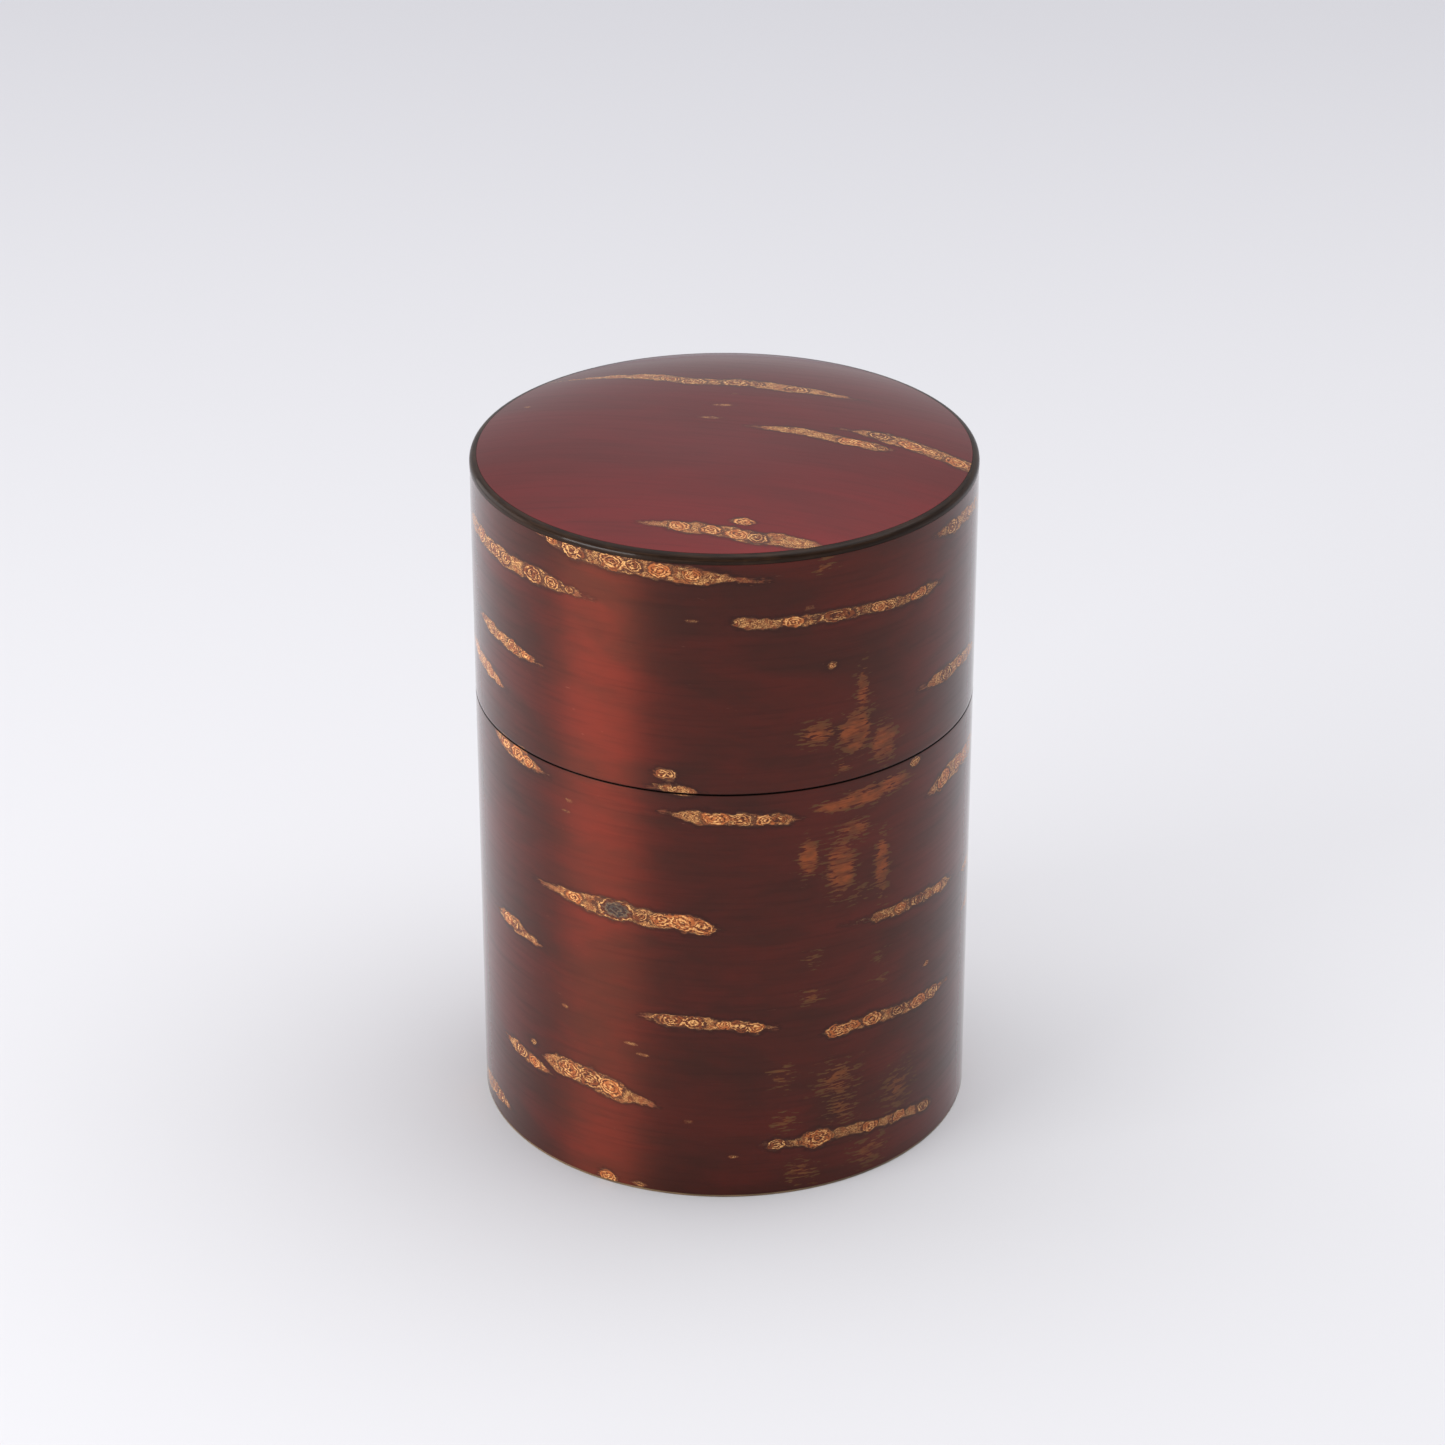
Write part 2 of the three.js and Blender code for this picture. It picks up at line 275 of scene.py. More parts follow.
# Streaks of the bark's pores, on the wrapped sheet: half width and the length of the two tapers in
# mm, then the middle line as (degrees round from the front, height in mm), then the eyes in it, as
# (degrees, half length in mm) and a tone if it isn't the usual one.
wrapped_streaks = [
    (1.6, 3, 10, [(-82, 108), (-62, 107.3), (-41, 107.2), (-29, 106.6)],
     [(-70, 1.6), (-62, 1.5), (-57, 1.4), (-47, 2.1), (-41, 1.5), (-36, 0.9)]),
    (1.7, 6, 12, [(-46, 115), (-35, 114.1), (-14, 113.4), (10, 112)],
     [(-41, 1.2), (-35, 2.2), (-25, 2.0), (-20, 1.5), (-14, 1.7), (-7, 1.4)]),
    (1.3, 5, 8, [(-74, 93.3), (-58, 92.6), (-43, 91.9)], [(-60, 1.2), (-55, 1.4), (-50, 1.0)]),
    (1.4, 6, 7, [(-86, 86), (-69, 84.7), (-57, 83.8)], [(-76, 1.3)]),
    (1.0, 3, 5, [(-1, 105.1), (15, 104.6), (32, 104.5), (43, 103.6), (58, 103.7)],
     [(2, 1.0), (15, 1.6), (25, 3.0), (36, 1.5), (39, 1.3), (48, 1.8)]),
    (1.4, 6, 5, [(48, 86.6), (66, 86.2), (82, 85.1)], [(60, 1.5), (67, 1.3), (75, 1.2)]),
    (1.4, 4, 5, [(53, 112.1), (72, 111.2), (92, 109.4)],
     [(61, 1.7), (72, 1.3), (79, 1.1), (86, 1.5)]),
    (0.8, 1, 1, [(22.3, 96), (25.7, 96.1)], [(24, 1.05)]),
    (0.9, 1, 1, [(-16, 78.4), (-10.2, 78.3)], [(-13.8, 1.4), (-12, 1.2)]),
    (1.0, 4, 4, [(-18, 75.9), (-4, 75.3)], []),
    (1.7, 5, 7, [(-66, 74.7), (-54, 73.7), (-42, 72.6)], [(-59, 1.5), (-54, 1.6), (-50, 1.3)]),
    (1.2, 5, 4, [(-15, 71.5), (-2, 70.9), (18, 69.8)],
     [(-2, 2.2), (3.5, 1.6), (9, 1.4), (12, 1.2)]),
    (1.8, 12, 4, [(-49, 52.5), (-25, 52.2), (-9, 51.6), (0, 50.6)],
     [(-36, 1.6), (-25, 3.1, GREY), (-19, 1.1), (-14, 1.9), (-9.5, 2.3), (-5, 2.0)]),
    (1.4, 4, 8, [(-67, 41.3), (-55, 41), (-44, 40)], [(-60, 1.3), (-57, 1.3)]),
    (1.1, 4, 5, [(-20, 33.6), (0, 33.1), (13, 31.9)],
     [(-12, 2.0), (-7, 1.7), (0, 1.2), (4, 1.8), (7, 1.6)]),
    (1.2, 2, 6, [(22, 29.4), (36, 29.6), (50, 28.5), (65, 28)],
     [(27, 2.2), (30, 1.5), (36, 1.9), (44, 1.4), (51, 1.9), (57, 1.6)]),
    (1.3, 4, 4, [(-64, 18), (-54, 17.4), (-43, 16.6)], [(-55, 1.6), (-50, 1.5)]),
    (2.1, 3, 7, [(-47, 19.4), (-32, 19.1), (-15, 16.7)], [(-38, 2.2), (-32.5, 2.4), (-27, 2.1)]),
    (1.5, 3, 6, [(-86, 2.4), (-70, 4), (-59, 3.8)], [(-72, 1.5), (-67, 1.4)]),
    (0.95, 1, 1, [(-51.4, 20.9), (-48.9, 21)], [(-50.2, 0.9)]),
    (1.1, 1.5, 1.5, [(-31, 0.9), (-25.3, 1)], [(-28, 1.7)]),
    (0.6, 1.5, 1.5, [(-22.5, 1.1), (-17.5, 0.9)], []),
    (1.2, 11, 5, [(26, 48.9), (36, 48.5), (50, 48), (68, 46.8)],
     [(44, 1.4), (50, 1.7), (54, 1.0), (58, 1.4)]),
    (1.9, 4, 5, [(52, 66.3), (64, 67.7), (86, 67.2)], [(60, 2.0), (68, 1.5), (73, 1.8)]),
    (1.05, 4, 3, [(8, 10), (17, 9.5), (28, 9.6), (45, 8.4), (59, 6.3)],
     [(12, 1.6), (36, 1.5), (45, 1.4), (54, 1.8)]),
    (1.75, 4, 4, [(15.5, 9.7), (28.5, 9.5)], [(22, 2.7)]),
    (0.9, 1, 1, [(46, 73.8), (50, 74)], [(48, 1.1)]),
    (1.2, 4, 4, [(71, 45.6), (88, 44.6)], [(78, 1.4)]),
    (1.2, 5, 5, [(72, 37.7), (90, 36.6)], [(80, 1.5)]),
    (0.55, 1, 1, [(52.3, 34.5), (55.2, 34.9)], [(54, 0.7)]),
    (0.35, 0.5, 0.5, [(0.6, 7.9), (3.4, 7.9)], []),
    (0.3, 0.7, 0.7, [(-9, 105.2), (-5, 105.2)], []),
    (0.3, 0.5, 0.5, [(17, 106.7), (20.5, 106.7)], []),
    (0.35, 0.5, 0.5, [(-40.5, 31.2), (-37.9, 30.9)], []),
    (0.3, 0.7, 0.7, [(-24, 28), (-19.5, 27.6)], []),
    (0.3, 0.7, 0.7, [(-21, 26.3), (-17, 26)], []),
    (0.3, 0.5, 0.5, [(-10, 14.4), (-6.5, 14.4)], []),
    (0.3, 0.5, 0.5, [(-38.5, 69.7), (-35.5, 69.6)], []),
    (0.3, 0.5, 0.5, [(-39.5, 67.5), (-36.5, 67.5)], []),
]

# Places where the outer bark wore off under the polish: (degrees, height, half width in degrees,
# half height in mm, strength).
wrapped_wear = [
    (22, 115.4, 4, 0.6, 0.9), (22, 113.1, 3, 1.0, 0.7), (32, 90, 2, 5, 0.8),
    (21, 84.5, 4.5, 2.4, 0.8), (30, 83.5, 4, 3.6, 1.0), (38, 80, 3.5, 3.2, 1.0),
    (27, 77.8, 3, 1.2, 0.7), (33, 87, 4, 3, 0.5), (26, 71, 6, 1.2, 0.9), (33, 71.5, 6, 1.6, 1.0),
    (41, 72, 5, 1.5, 0.9), (19, 62.7, 2.2, 3.2, 1.0), (27, 60, 3.5, 5, 1.0), (30, 66, 5, 2, 0.8),
    (38, 58, 2.2, 6, 0.9), (32, 54, 4, 2, 0.6), (20, 44, 3, 2.5, 0.55), (20, 37, 3.5, 1.5, 0.7),
    (38, 41, 3, 1.8, 0.5), (38, 36.5, 3.5, 1.2, 0.6), (13, 22.7, 4, 2.8, 0.62),
    (27, 20, 6, 4.5, 0.66), (28, 14.5, 5, 4.5, 0.62), (44, 14, 6, 5.5, 0.62),
    (14, 14, 3.5, 2.4, 0.62), (18, 4, 5, 3, 0.62), (36, 4.3, 6, 3.4, 0.66),
    (128, 96, 4, 5, 0.9), (134, 88, 3, 6, 0.8), (141, 62, 4, 4, 0.9), (149, 55, 3, 6, 0.8),
    (212, 34, 4, 5, 0.8), (220, 26, 3, 4, 0.9), (206, 22, 3, 3, 0.6), (236, 70, 3, 4, 0.7),
]


def grown_streaks(seed, count, low, high, first, last):
    """Streaks like the others for the sides that have no listed streaks, spread evenly."""
    draw = random.Random(seed)
    streaks = []
    for number in range(count):
        height = low + (high - low) * (number + 0.5 + draw.uniform(-0.25, 0.25)) / count
        middle = first + (last - first) * ((number * 0.618 + 0.3) % 1.0)
        reach = draw.uniform(8.0, 19.0)
        slope = draw.uniform(-1.4, 1.4)
        sway = height + draw.uniform(-0.4, 0.4)
        path = [(middle - reach, height - slope), (middle, sway), (middle + reach, height + slope)]
        half_width = draw.uniform(1.0, 1.6)
        eyes = []
        along = middle - reach * draw.uniform(0.4, 0.6)
        while along < middle + reach * 0.5:
            size = half_width * draw.uniform(0.8, 1.5)
            eyes.append((along, size))
            along += size * 2.2 + draw.uniform(0.2, 4.0)
        streaks.append((half_width, draw.uniform(4, 9), draw.uniform(4, 9), path, eyes))
    return streaks


wrapped_streaks += grown_streaks(11, 19, 3.0, 113.0, 112.0, 248.0)


def mark_bark(piece, streaks, wear, on_sheet, unit, girth=None):
    """Writes on every point how it lies to the nearest streak, eye and worn place.

    on_sheet turns points into two flat measures in mm. unit is the length in mm of one step of the
    first number in the lists above, and girth is where the sheet meets itself.
    """
    mesh = piece.data
    points = np.empty(len(mesh.vertices) * 3)
    mesh.vertices.foreach_get("co", points)
    flat = on_sheet(points.reshape(-1, 3) / MM)
    count = len(flat)
    no_edge, no_eye, reach = 4.0, 3.0, 12.0
    edge, eye = np.full(count, no_edge), np.full(count, no_eye)
    body, size = np.ones((2, count))
    along, across, tone, share = np.zeros((4, count))
    draw = random.Random(5)
    for half_width, first_taper, last_taper, path, eyes in streaks:
        line = np.array([(step * unit, height) for step, height in path], float)
        middle = line.mean(0)
        offset = flat - middle
        if girth:
            offset[:, 0] = (offset[:, 0] + girth / 2) % girth - girth / 2
        index = np.flatnonzero(np.abs(offset[:, 1]) < reach)
        spot = offset[index] + middle
        nearest = np.full(len(spot), np.inf)
        run, side = np.zeros((2, len(spot)))
        start = 0.0
        for first, last in zip(line, line[1:]):
            length = math.hypot(*(last - first))
            step = (last - first) / length
            part = np.clip((spot - first) @ step, 0.0, length)
            away = spot - first - part[:, None] * step
            distance = np.hypot(away[:, 0], away[:, 1])
            closer = distance < nearest
            nearest = np.where(closer, distance, nearest)
            run = np.where(closer, start + part, run)
            side = np.where(closer, away @ np.array([-step[1], step[0]]), side)
            start += length
        # Between its eyes a streak is slimmer than its half width, and its tips close softly.
        taper = np.clip(run / first_taper, 0, 1) * np.clip((start - run) / last_taper, 0, 1)
        streak_edge = nearest - 0.88 * half_width * np.sqrt(taper) * (0.4 + 0.6 * taper)
        streak_eye, streak_tone = np.full(len(spot), no_eye), np.zeros(len(spot))
        # An eye leans with the streak's middle line, is longer than high and may swell the streak.
        for mark, half_length, *special in eyes:
            centre = mark * unit
            ahead = [centre + 1.0, np.interp(centre + 1.0, line[:, 0], line[:, 1])]
            centre = np.array([centre, np.interp(centre, line[:, 0], line[:, 1])])
            lean = (ahead - centre) / math.hypot(*(ahead - centre))
            half_height = min(0.8 * half_length, 1.15 * half_width)
            long_way = (spot - centre) @ lean / (1.2 * half_length)
            short_way = (spot - centre) @ np.array([-lean[1], lean[0]]) / half_height
            radius = np.hypot(long_way, short_way)
            streak_edge = np.minimum(streak_edge, (radius - 1.0) * half_height + 0.1)
            shade = special[0] if special else draw.random()
            streak_tone = np.where(radius < streak_eye, shade, streak_tone)
            streak_eye = np.minimum(streak_eye, radius)
        # Each streak has a chance of its own, which keeps the curls of two streaks apart.
        closer = streak_edge < edge[index]
        chance = draw.random()
        news = (run + 50.0 * chance, side, taper, chance, min(half_width, 1.0) ** 2)
        for values, new in zip((along, across, body, share, size), news):
            values[index] = np.where(closer, new, values[index])
        edge[index] = np.minimum(edge[index], streak_edge)
        tone[index] = np.where(streak_eye < eye[index], streak_tone, tone[index])
        eye[index] = np.minimum(eye[index], streak_eye)
    worn = np.zeros(count)
    for step, height, half_step, half_height, strength in wear:
        offset = flat - (step * unit, height)
        if girth:
            offset[:, 0] = (offset[:, 0] + girth / 2) % girth - girth / 2
        square = (offset[:, 0] / (half_step * unit)) ** 2 + (offset[:, 1] / half_height) ** 2
        worn = np.maximum(worn, strength * np.exp(-0.5 * square))
    columns = {
        "streak": (edge, along, across),
        "eye": (eye, tone, worn),
        "tail": (body, share, size),
    }
    for name, values in columns.items():
        layer = mesh.attributes.new(name, "FLOAT_VECTOR", "POINT")
        layer.data.foreach_set("vector", np.stack(values, 1).astype(np.float32).ravel())


def unrolled(points):
    """Round the tube from the front, towards +X, and up it."""
    return np.stack([np.arctan2(points[:, 0], -points[:, 1]) * facing_radius, points[:, 2]], 1)


degree = math.radians(1.0) * facing_radius
girth = math.tau * facing_radius


def bark(name, grain_axis, turn, red, brown, scarf=False, **polish):
    """Cherry bark: fine level striping, streaks of pores with curled eyes, and worn patches."""
    finish = Finish(name, **polish)
    place = finish.place()

    def grain(long_way, short_way, detail=2.0, distortion=0.0):
        """A cloud drawn out along the grain, given in clouds a metre along and across it."""
        scale = [long_way] * 3
        scale[grain_axis] = short_way
        return finish.cloud(finish.drawn(place, scale, turn), 1.0, detail, 0.6, distortion)

    def marked(name):
        vector = finish.add("Attribute", {"attribute_name": name}, {}).output("Vector")
        parts = finish.add("SeparateXYZ", {}, {0: vector})
        return [parts.output(axis) for axis in "XYZ"]

    edge, along, across = marked("streak")
    eye, tone, worn = marked("eye")
    body, share, size = marked("tail")

    # The ground: deep red where the polish went through, browner where the bark is thick.
    stripes = grain(70.0, 1500.0, 3.0)
    patches = grain(38.0, 110.0, 4.0, 0.3)
    dashes = grain(430.0, 2100.0)
    ground = finish.blend(patches.rise(0.3, 0.7), brown, red)
    ground = finish.blend(stripes.rise(0.45, 0.8) * 0.3, ground, [value * 0.5 for value in brown])
    ground = finish.blend(dashes.rise(0.74, 0.8) * 0.35, ground, (0.24, 0.08, 0.045))

    # Worn patches: ragged stacks of short level dashes in copper, with dark gaps between them.
    gaps = grain(260.0, 3200.0)
    ragged = (worn * 0.42 + dashes * 0.85 + gaps * 0.15).rise(0.72, 0.79)
    ragged = ragged * (0.5 + 0.5 * gaps.rise(0.36, 0.5))
    mottle = grain(300.0, 700.0).rise(0.35, 0.65)
    copper = finish.blend(mottle, (0.26, 0.058, 0.012), (0.145, 0.038, 0.010))
    copper = finish.blend(worn.rise(0.45, 0.8), (0.105, 0.040, 0.010), copper)
    worn_away = ragged * worn.rise(0.05, 0.5)
    colour = finish.blend(worn_away, ground, copper)

    # The course of a streak, along and across it, so that its curls lie lengthwise.
    course = finish.add("CombineXYZ", {}, {0: along * 0.75, 1: across * 1.7, 2: share * 30.0})
    curl = finish.cloud(course, 1.0, 3.0, 0.55, 1.2)
    course = finish.add("CombineXYZ", {}, {0: along * 0.5, 1: across * 7.0, 2: share * 30.0})
    fibre = finish.cloud(course, 1.0, 2.0, 0.6)
    fray = finish.cloud(place, 900.0, 2.0, 0.6)

    # Its outline is frayed and breaks up into fibres towards the tips.
    tip = 1.0 - body.rise(0.0, 0.8)
    wobble = finish.cloud(place, 330.0, 2.0)
    frayed = edge + size * ((dashes - 0.5) * 0.7 + (fray - 0.5) * 0.8 + (wobble - 0.5) * 1.5)
    frayed = frayed + size * (fibre - 0.42) * tip * 2.6
    inside = frayed.rise(0.14, -0.14)
    halo = frayed.rise(0.8, 0.1) * (1.0 - inside) * size
    outline = abs(frayed + 0.02).rise(0.2, 0.03) * size

    # Cork with dark curls and gold threads in it, redder and thinner at the tips.
    pale = (curl + share * 0.2).rise(0.4, 0.7)
    cork = finish.blend(pale, (0.15, 0.036, 0.012), (0.34, 0.105, 0.030))
    cork = finish.blend(wobble.rise(0.52, 0.66) * 0.7, cork, (0.11, 0.023, 0.007))
    contours = (curl * 50.0).sine()
    cork = finish.blend(contours.rise(0.35, 0.85) * 0.9, cork, (0.045, 0.012, 0.006))
    gold = contours.rise(-0.45, -0.85) * fray.rise(0.36, 0.56)
    cork = finish.blend(gold, cork, (0.71, 0.38, 0.13))
    thin = finish.blend(fibre.rise(0.35, 0.6), (0.09, 0.018, 0.008), (0.29, 0.078, 0.032))
    cork = finish.blend(tip * 0.85, cork, thin)

    # Eyes: warped rings about a heart, each eye with its own shade, some of them grey.
    warped = eye + (fray - 0.5) * 0.5 + (curl - 0.5) * 0.7
    in_eye = warped.rise(1.02, 0.92)
    heart = finish.blend(tone.rise(0.2, 0.9), (0.42, 0.115, 0.028), (0.18, 0.042, 0.011))
    grey = tone.rise(1.4, 1.6) * warped.rise(0.68, 0.6)
    heart = finish.blend(grey, heart, (0.055, 0.04, 0.034))
    wave = (warped * 21.0 + tone * 9.0).sine()
    heart = finish.blend(wave.rise(0.3, 0.85) * 0.9, heart, (0.045, 0.012, 0.006))
    thread = wave.rise(-0.4, -0.85) * fray.rise(0.38, 0.55) * (1.0 - grey * 0.85)
    heart = finish.blend(thread, heart, (0.75, 0.40, 0.14))
    cork = finish.blend(in_eye, cork, heart)
    cork = finish.blend(abs(warped - 1.0).rise(0.15, 0.04) * 0.8, cork, (0.07, 0.021, 0.01))

    colour = finish.blend(halo * 0.55, colour, [value * 0.5 for value in brown])
    colour = finish.blend(inside * (0.55 + 0.45 * size), colour, cork)
    colour = finish.blend(outline * (1.0 - tip * 0.7) * 0.85, colour, (0.045, 0.013, 0.007))
    height = inside * 0.4 + stripes * 0.2 - contours.rise(0.2, 0.9) * inside * 0.3
    if scarf:
        # The scarf at the back, a hairline of glue, and painted shade in the seam groove at the saw
        # cut.
        spot = finish.add("SeparateXYZ", {}, {0: place})
        line = abs(spot.output("X") + (stripes - 0.5) * (0.3 * MM)).rise(0.22 * MM, 0.06 * MM)
        behind = spot.output("Y").rise(0.0, 1.0 * MM)
        colour = finish.blend(line * behind * 0.8, colour, (0.02, 0.008, 0.006))
        height = height - line * behind
        # Painted shade: the rounded bark edges on either side of the saw cut are painted near
        # black, with little coat, so the seam groove reads dark.
        seam_groove_shade = abs(spot.output("Z") - saw_cut).rise(0.26 * MM, 0.12 * MM)
        colour = finish.blend(seam_groove_shade, colour, (0.008, 0.003, 0.002))
        finish.set("Coat Weight", 1.0 - seam_groove_shade * 0.9)
    finish.set("Base Color", colour)
    finish.set("Metallic", (1.0 - inside) * (1.0 - worn_away) * 0.9)
    finish.set("Roughness", 0.42 + stripes * 0.08 + inside * 0.05)
    finish.relief(height, 0.02 * MM)
    return finish


saw_cut = (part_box("body_bark")[1].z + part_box("lid_bark")[0].z) / 2
bark_red = (0.112, 0.0142, 0.0070)
bark_brown = (0.062, 0.0132, 0.0066)
facing_bark = bark(
    "polished_bark", 2, 0.0, bark_red, bark_brown, scarf=True,
    Anisotropic=0.85, Anisotropic_Rotation=0.25, IOR=1.15,
    Coat_Weight=1.0, Coat_IOR=1.29, Coat_Roughness=0.05,
)
glue = 0.05 * MM
saw_arris = 0.12 * MM
finest_steps = 480
tube_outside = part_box("body_core")[1].x + glue
body_facing = ring(
    "body_facing_bark", "canister", "body_bark", facing_bark, tube_outside,
    steps=finest_steps, rounded=[(2, saw_arris, 3)], cuts=[(OUTSIDE, 130)],
)
lid_facing = ring(
    "lid_facing_bark", "outer_lid", "lid_bark", facing_bark, tube_outside,
    steps=finest_steps, rounded=[(1, saw_arris, 3)], cuts=[(OUTSIDE, 70)],
)
for piece in (body_facing, lid_facing):
    mark_bark(piece, wrapped_streaks, wrapped_wear, unrolled, degree, girth)

# ---- Strips on the sawn ends -------------------------------------------------------------------
# Every sawn end of a tube is closed with a thin strip of the darkest bark, glued on and rubbed
# smooth: the foot, the shoulder at the seam, the lid's mouth and the neck's rim.


def edge_bark(name, colour, gloss, wear, **polish):
    """Dark bark, rubbed to a soft shine, with fine lines along the strip."""
    finish = Finish(name, IOR=gloss, **polish)
    place = finish.place()
    lines = finish.cloud(finish.drawn(place, (150.0, 150.0, 4000.0)), 1.0, 3.0, 0.6)
    spots = finish.cloud(place, 260.0, 3.0, 0.6)
    base = finish.blend(lines.rise(0.35, 0.7), colour, [value * 2.2 for value in colour])
    worn = spots.rise(0.55, 0.72)
    finish.set("Base Color", finish.blend(worn * wear, base, (0.16, 0.085, 0.035)))
    finish.set("Roughness", 0.22 + lines * 0.16)
    finish.relief(lines, 0.02 * MM)
    return finish


strip_bark = edge_bark(
    "edge_strip_bark", (0.018, 0.010, 0.006), 1.4, 0.2, Coat_Weight=0.5, Coat_Roughness=0.1,
)
foot_bark = edge_bark(
    "foot_strip_bark", (0.10, 0.062, 0.03), 1.45, 0.35, Coat_Weight=0.3, Coat_Roughness=0.15,
)
tube_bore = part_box("base_board")[1].x + glue
strip_steps = 256
worn_corner, bore_corner = 0.18 * MM, 0.08 * MM
ring(
    "foot_edge_strip", "canister", "foot_strip", foot_bark, tube_bore,
    steps=strip_steps, rounded=[(1, worn_corner, 3), (0, 0.1 * MM, 2)],
)
ring(
    "shoulder_edge_strip", "canister", "shoulder_strip", strip_bark, tube_bore,
    steps=strip_steps, rounded=[(3, bore_corner, 2)],
)
ring(
    "lid_mouth_edge_strip", "outer_lid", "lid_mouth_strip", strip_bark, tube_bore,
    steps=strip_steps, rounded=[(0, bore_corner, 2)],
)

# ---- Neck --------------------------------------------------------------------------------------
# The neck is a second, thinner tube glued inside the body. It has its own polished bark outside,
# where the lid slides, and satin bark inside, where the tea lies.

neck_streaks = grown_streaks(23, 22, 8.0, 97.0, -180.0, 180.0)
chamber_streaks = grown_streaks(31, 18, 8.0, 97.0, -180.0, 180.0)
satin_polish = {"IOR": 1.4, "Coat_Weight": 0.15, "Coat_Roughness": 0.3}
light_red, light_brown = (0.17, 0.036, 0.022), (0.12, 0.035, 0.022)
neck_finish = bark(
    "neck_bark", 2, 0.0, light_red, light_brown,
    Anisotropic=0.7, Anisotropic_Rotation=0.25, IOR=1.3,
    Coat_Weight=0.8, Coat_IOR=1.3, Coat_Roughness=0.1,
)
satin_red, satin_brown = (0.22, 0.075, 0.045), (0.16, 0.06, 0.038)
satin_finish = bark("satin_bark", 2, 0.0, satin_red, satin_brown, **satin_polish)
tube_steps = 320
neck_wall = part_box("neck_core")[1].x + glue
neck_facing = ring(
    "neck_facing_bark", "canister", "neck_bark", neck_finish, neck_wall,
    steps=tube_steps, cuts=[(OUTSIDE, 90)],
)
mark_bark(neck_facing, neck_streaks, [], unrolled, degree, girth)
chamber_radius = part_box("chamber_floor_bark")[1].x + glue
chamber_lining = ring(
    "chamber_lining_bark", "canister", "neck_lining", satin_finish, chamber_radius,
    steps=tube_steps, cuts=[(INSIDE, 90)],
)
mark_bark(chamber_lining, chamber_streaks, [], unrolled, degree, girth)
ring(
    "neck_rim_edge_strip", "canister", "neck_rim_strip", strip_bark, chamber_radius,
    steps=strip_steps, rounded=[(2, worn_corner, 3), (3, worn_corner, 3)],
)

# ---- Flat bark discs ---------------------------------------------------------------------------
# Discs cut from flat sheets of bark cover the underside of the base, the floor of the chamber, the
# ceiling of the lid and the underside of the inner lid. They are left with a satin surface.


def laid_flat(points):
    return points[:, :2]


def flat_streaks(seed, count, radius):
    """Streaks that run straight across a disc, all the same way."""
    draw = random.Random(seed)
    streaks = []
    for number in range(count):
        up = -radius + 2.0 * radius * (number + 0.5 + draw.uniform(-0.2, 0.2)) / count
        middle = radius * (((number * 0.618 + 0.2) % 1.0) * 1.4 - 0.7)
        reach = draw.uniform(6.0, 15.0)
        path = [(middle - reach, up), (middle, up + draw.uniform(-0.5, 0.5)), (middle + reach, up)]
        shares = (-0.5, -0.1, 0.3, 0.55)
        eyes = [(middle + reach * share, draw.uniform(1.1, 2.0)) for share in shares]
        half_width = draw.uniform(1.0, 1.7)
        streaks.append((half_width, draw.uniform(4, 9), draw.uniform(4, 9), path, eyes))
    return streaks


# The faces of a disc's outline that get more rings of points.
UNDER, OVER = 0, 2


def bark_disc(name, body, node, finish, seed, seen):
    """A flat disc of its node's size with softened corners."""
    low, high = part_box(node)
    outline = [(0.0, low.z), (high.x, low.z), (high.x, high.z), (0.0, high.z)]
    softened = [(1, 0.06 * MM, 2), (2, 0.06 * MM, 2)]
    piece = turned(name, outline, 240, softened, [(seen, 50)], open_ends=True)
    mark_bark(piece, flat_streaks(seed, 7, high.x / MM), [], laid_flat, 1.0)
    fit(piece, body, node, finish)
    return piece


flat_finish = bark("satin_disc_bark", 1, 0.0, satin_red, satin_brown, **satin_polish)
for name, body, node, seed, seen in (
    ("base_underside_disc", "canister", "base_underside_bark", 41, UNDER),
    ("chamber_floor_disc", "canister", "chamber_floor_bark", 42, OVER),
    ("lid_ceiling_disc", "outer_lid", "lid_ceiling_bark", 43, UNDER),
    ("plug_underside_disc", "inner_lid", "plug_underside_bark", 44, UNDER),
):
    bark_disc(name, body, node, flat_finish, seed, seen)

# The body's own lining is buried between tube and neck, and keeps its turned shape.
satin_finish.coat(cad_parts["body_lining"])

# ---- Lid lining --------------------------------------------------------------------------------
# The lid slides on the neck on its own bark lining, which is left satin so that it grips a little.

lid_lining = ring(
    "lid_lining_bark", "outer_lid", "lid_lining", satin_finish, tube_bore,
    steps=tube_steps, cuts=[(INSIDE, 50)],
)
mark_bark(lid_lining, grown_streaks(37, 8, 78.0, 110.0, -180.0, 180.0), [], unrolled, degree, girth)

# ---- Domed top ---------------------------------------------------------------------------------
# The lid's board is nearly flat at the crown and falls away to the rim. A single disc of bark is
# pressed and glued over it, with its streaks running across from left to right.

top_streaks = [
    (1.7, 20, 12, [(-31, 27.2), (-13, 24.5), (-5, 20.8), (4, 20), (15, 16.5), (24, 13.4)],
     [(-9, 1.6), (-5, 2.0), (2, 2.2), (5, 1.5), (12, 1.8)]),
    (1.5, 7, 3, [(3, 1.6), (11, 0), (20, -4), (27, -6.2)], [(20, 1.8), (22.5, 1.6), (25, 1.2)]),
    (1.9, 8, 0.5, [(17.5, 1.3), (25, -1), (31, -4), (41, -8.8)],
     [(25, 1.8), (30, 2.0), (33, 1.5), (37, 2.0), (39.5, 1.4)]),
    (1.7, 8, 4, [(-14, -31), (-2, -34), (5, -36), (16, -37.4)],
     [(-7, 1.6), (-2, 1.6), (2, 1.8), (5, 1.7)]),
    (1.0, 1.5, 1.5, [(0.6, -31.6), (5.4, -32)], [(3, 1.5)]),
    (0.5, 1.5, 1.5, [(-2.4, 10.3), (2, 9.9)], []),
    (0.55, 1.5, 1.5, [(-4.5, 5.2), (0, 4.8)], []),
    (0.3, 1, 1, [(0.5, 15.4), (3, 15)], []),
    (0.3, 1, 1, [(-33.5, 14.4), (-31, 14.2)], []),
]
top_tilt = math.radians(12.0)
